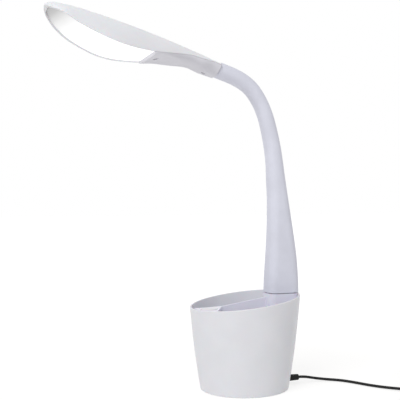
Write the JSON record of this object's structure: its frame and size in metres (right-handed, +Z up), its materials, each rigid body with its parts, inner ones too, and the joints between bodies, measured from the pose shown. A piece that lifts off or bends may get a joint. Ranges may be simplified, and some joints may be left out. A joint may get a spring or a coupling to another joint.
{
  "type": "desk lamp",
  "caption": "Bendable desk lamp: arched leaf-shaped head with a milky light panel, tapered soft arm, and a slanted pen pot base with divider and round key.",
  "frame": {"origin": "centre of the base pad's underside, on the pot's axis at the floor", "axes": "+Z up, -Y from the pot towards the head's tip, +Y towards the arm and the cord, +X towards the compartment with the key"},
  "size_m": [0.1775, 0.4942, 0.4327],
  "materials": {
    "shell_plastic": "satin",
    "insert_plastic": "satin",
    "cover_plastic": "satin",
    "sleeve_silicone": "matt",
    "collar_plastic": "satin",
    "diffuser_milk": "translucent, matt",
    "core_steel": "turned",
    "screw_steel": "blackened",
    "ballast_iron": "rough",
    "base_plastic": "matt",
    "pad_rubber": "matt",
    "board_laminate": "lacquered",
    "part_black": "moulded",
    "winding_copper": "wound",
    "led_lens": "clear",
    "lead_insulation": "matt",
    "cord_black": "matt",
    "tie_black": "satin",
    "adapter_black": "fine texture",
    "contact_metal": "plated"
  },
  "bodies": {
    "root": {"pot_shell": "shell_plastic", "pot_insert": "insert_plastic", "base_pad": "pad_rubber", "base_cover": "base_plastic", "ballast_plate": "ballast_iron", "base_screw_1": "screw_steel", "base_screw_2": "screw_steel", "base_screw_3": "screw_steel", "base_screw_4": "screw_steel", "control_board": "board_laminate", "board_capacitor": "part_black", "board_inductor": "winding_copper", "board_screw_1": "screw_steel", "board_screw_2": "screw_steel", "switch_board": "board_laminate", "key_switch": "part_black", "dc_jack": "part_black", "base_lead": "lead_insulation", "arm_ferrule": "core_steel", "arm_washer": "core_steel", "arm_nut": "core_steel", "sleeve_0": "sleeve_silicone", "core_0": "core_steel", "plug_tip": "contact_metal", "plug_body": "cord_black", "cord_run": "cord_black", "cord_coil": "cord_black", "cord_tail": "cord_black", "cord_tie": "tie_black", "adapter": "adapter_black", "adapter_pin_1": "contact_metal", "adapter_pin_2": "contact_metal"},
    "arm_1": {"sleeve_1": "sleeve_silicone", "core_1": "core_steel"},
    "arm_2": {"sleeve_2": "sleeve_silicone", "core_2": "core_steel"},
    "arm_3": {"sleeve_3": "sleeve_silicone", "core_3": "core_steel"},
    "arm_4": {"sleeve_4": "sleeve_silicone", "core_4": "core_steel"},
    "arm_5": {"sleeve_5": "sleeve_silicone", "core_5": "core_steel"},
    "head": {"sleeve_6": "sleeve_silicone", "core_6": "core_steel", "neck_collar": "collar_plastic", "head_shell": "shell_plastic", "diffuser": "diffuser_milk", "neck_cover": "cover_plastic", "cover_screw_front": "screw_steel", "cover_screw_back": "screw_steel", "led_board": "board_laminate", "leds": "led_lens", "led_screw_1": "screw_steel", "led_screw_2": "screw_steel", "head_lead": "lead_insulation"},
    "button": {"power_button": "cover_plastic"}
  },
  "joints": [
    {"name": "arm_pitch_1", "type": "hinge", "parent": "root", "child": "arm_1", "pos_m": [0, 0.0436, 0.19594], "axis": [1, 0, 0], "range_deg": [-12, 12]},
    {"name": "arm_sway_1", "type": "hinge", "parent": "arm_1", "child": "arm_2", "pos_m": [0, 0.04031, 0.23398], "axis": [0, 0.9946, 0.1041], "range_deg": [-10, 10]},
    {"name": "arm_pitch_2", "type": "hinge", "parent": "arm_2", "child": "arm_3", "pos_m": [0, 0.03564, 0.27203], "axis": [1, 0, 0], "range_deg": [-12, 12]},
    {"name": "arm_sway_2", "type": "hinge", "parent": "arm_3", "child": "arm_4", "pos_m": [0, 0.02874, 0.30593], "axis": [0, 0.9633, 0.2686], "range_deg": [-10, 10]},
    {"name": "arm_pitch_3", "type": "hinge", "parent": "arm_4", "child": "arm_5", "pos_m": [0, 0.01848, 0.33466], "axis": [1, 0, 0], "range_deg": [-12, 12]},
    {"name": "arm_sway_3", "type": "hinge", "parent": "arm_5", "child": "head", "pos_m": [0, 0.00293, 0.35355], "axis": [0, 0.6039, 0.797], "range_deg": [-10, 10]},
    {"name": "button_press", "type": "slide", "parent": "root", "child": "button", "axis": [0, 0.0279, -0.9996], "range_m": [0, 0.0012], "stiffness_N_per_m": 900, "springref_m": -0.0004}
  ],
  "couplings": [
    {"joint": "arm_pitch_2", "follows": "arm_pitch_1", "ratio": 1},
    {"joint": "arm_pitch_3", "follows": "arm_pitch_1", "ratio": 1},
    {"joint": "arm_sway_2", "follows": "arm_sway_1", "ratio": 1},
    {"joint": "arm_sway_3", "follows": "arm_sway_1", "ratio": 1}
  ]
}
